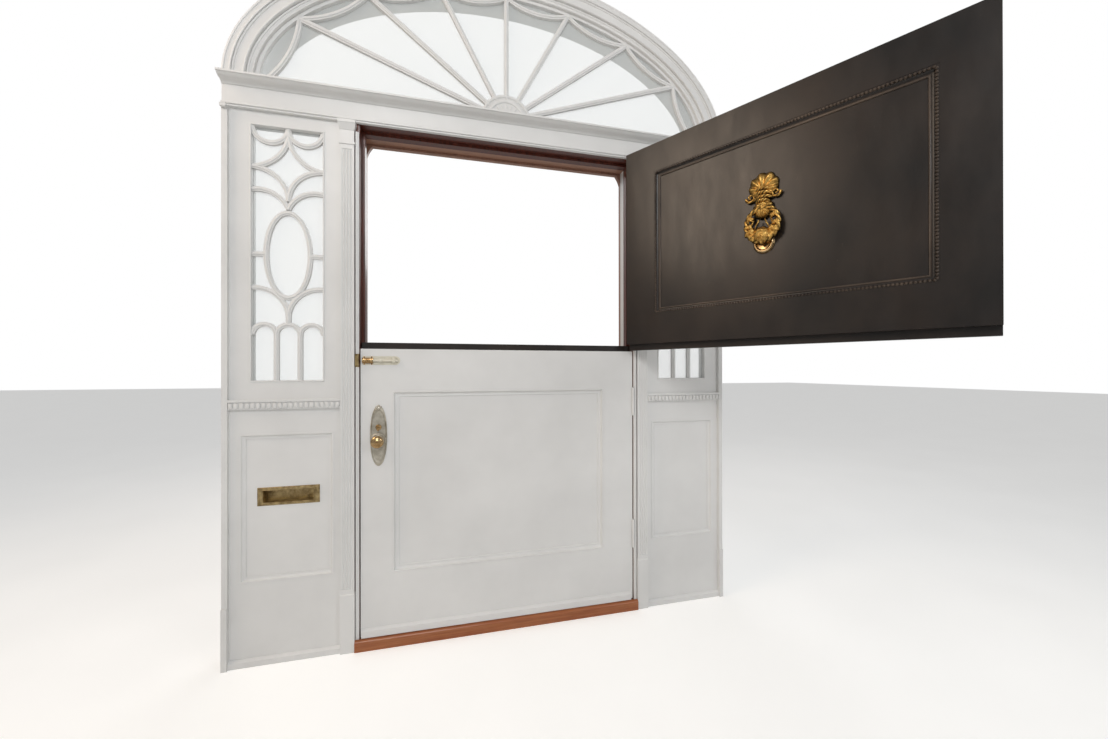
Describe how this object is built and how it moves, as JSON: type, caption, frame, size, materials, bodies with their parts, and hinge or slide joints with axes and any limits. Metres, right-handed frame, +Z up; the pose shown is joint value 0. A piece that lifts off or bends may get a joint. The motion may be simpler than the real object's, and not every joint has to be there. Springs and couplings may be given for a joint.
{
  "type": "stable door with frame",
  "caption": "Stable door with separately hinged upper and lower leaves in a joined entrance frame with tracery sidelights and an elliptical fanlight.",
  "frame": {"origin": "on the floor under the middle of the doorway, in the plane of the room face", "axes": "+X across the doorway towards the hinge side, +Y from the room outwards, +Z up"},
  "size_m": [2.3373, 1.2755, 2.9579],
  "materials": {
    "white_paint": "white satin paint on joinery",
    "stained_jamb": "dark red-brown stained hardwood",
    "sill_hardwood": "varnished orange-brown hardwood",
    "black_paint": "black semi-gloss paint on wood",
    "weather_casing": "light pinkish-brown painted softwood",
    "polished_brass": "aged polished brass",
    "aged_nickel": "worn nickel plate over brass",
    "knocker_brass": "antique cast brass with dark patina",
    "bright_steel": "plain steel lock case",
    "window_glass": "clear window glass"
  },
  "bodies": {
    "frame": {"threshold": "stained_jamb", "threshold_nosing": "sill_hardwood", "post_left": "white_paint", "post_right": "white_paint", "outer_posts": "white_paint", "transom": "white_paint", "jamb_left": "stained_jamb", "jamb_right": "stained_jamb", "jamb_head": "stained_jamb", "door_stops": "stained_jamb", "strike_plate": "polished_brass", "exterior_casing": "weather_casing", "pilaster_left": "white_paint", "pilaster_right": "white_paint", "bead_trim": "white_paint", "frieze_board": "white_paint", "cornice": "white_paint", "sidelight_left": "white_paint", "sidelight_right": "white_paint", "sidelight_panes": "window_glass", "apron_left": "white_paint", "apron_right": "white_paint", "dentil_rails": "white_paint", "letter_plate": "polished_brass", "letter_tunnel": "polished_brass", "fan_arch": "white_paint", "fan_casing": "white_paint", "fan_sash": "white_paint", "fan_pane": "window_glass", "frame_hinge_halves": "white_paint", "bolt_keeper": "polished_brass"},
    "lower_leaf": {"lower_latch_stile": "white_paint", "lower_hinge_stile": "white_paint", "lower_top_rail": "white_paint", "lower_bottom_rail": "white_paint", "lower_panel": "white_paint", "lower_mouldings": "white_paint", "lower_meeting_lip": "black_paint", "bottom_strip": "white_paint", "lower_hinge_halves": "white_paint", "lock_plates": "aged_nickel", "lock_case": "bright_steel", "bolt_plate": "white_paint"},
    "upper_leaf": {"upper_latch_stile": "black_paint", "upper_hinge_stile": "black_paint", "upper_top_rail": "black_paint", "upper_bottom_rail": "black_paint", "upper_panel": "black_paint", "upper_mouldings": "black_paint", "upper_meeting_lip": "black_paint", "upper_hinge_halves": "white_paint", "knocker_plate": "knocker_brass"},
    "letter_flap": {"letter_flap": "polished_brass"},
    "knob": {"knob": "polished_brass"},
    "latch_bolt": {"latch_bolt": "polished_brass"},
    "thumb_turn": {"thumb_turn": "polished_brass"},
    "dead_bolt": {"dead_bolt": "polished_brass"},
    "surface_bolt": {"surface_bolt": "polished_brass"},
    "flush_bolt": {"flush_bolt": "polished_brass"},
    "knocker_ring": {"knocker_ring": "knocker_brass"}
  },
  "joints": [
    {"name": "lower_leaf_swing", "type": "hinge", "parent": "frame", "child": "lower_leaf", "pos_m": [0.611, -0.007, 0], "axis": [0, 0, 1], "range_deg": [0, 118]},
    {"name": "upper_leaf_swing", "type": "hinge", "parent": "frame", "child": "upper_leaf", "pos_m": [0.611, -0.007, 0], "axis": [0, 0, 1], "range_deg": [-121.2, 12]},
    {"name": "letter_flap_lift", "type": "hinge", "parent": "frame", "child": "letter_flap", "pos_m": [-0.8757, 0.0474, 0.6835], "axis": [1, 0, 0], "range_deg": [0, 85]},
    {"name": "knob_turn", "type": "hinge", "parent": "lower_leaf", "child": "knob", "pos_m": [-0.5395, 0, 0.86], "axis": [0, 1, 0], "range_deg": [0, 60]},
    {"name": "latch_slide", "type": "slide", "parent": "lower_leaf", "child": "latch_bolt", "axis": [-1, 0, 0], "range_m": [0, 0.012]},
    {"name": "thumb_turn_turn", "type": "hinge", "parent": "lower_leaf", "child": "thumb_turn", "pos_m": [-0.5395, 0, 0.916], "axis": [0, 1, 0], "range_deg": [0, 90]},
    {"name": "dead_bolt_slide", "type": "slide", "parent": "lower_leaf", "child": "dead_bolt", "axis": [-1, 0, 0], "range_m": [0, 0.015]},
    {"name": "surface_bolt_slide", "type": "slide", "parent": "lower_leaf", "child": "surface_bolt", "axis": [-1, 0, 0], "range_m": [0, 0.02]},
    {"name": "flush_bolt_slide", "type": "slide", "parent": "upper_leaf", "child": "flush_bolt", "axis": [0, 0, -1], "range_m": [0, 0.022]},
    {"name": "knocker_ring_lift", "type": "hinge", "parent": "upper_leaf", "child": "knocker_ring", "pos_m": [0.87559, -0.56107, 1.762], "axis": [-0.518, 0.8554, 0], "range_deg": [0, 80]}
  ],
  "couplings": [
    {"joint": "latch_slide", "follows": "knob_turn", "m_per_rad": 0.011459},
    {"joint": "thumb_turn_turn", "follows": "dead_bolt_slide", "rad_per_m": 104.72}
  ]
}
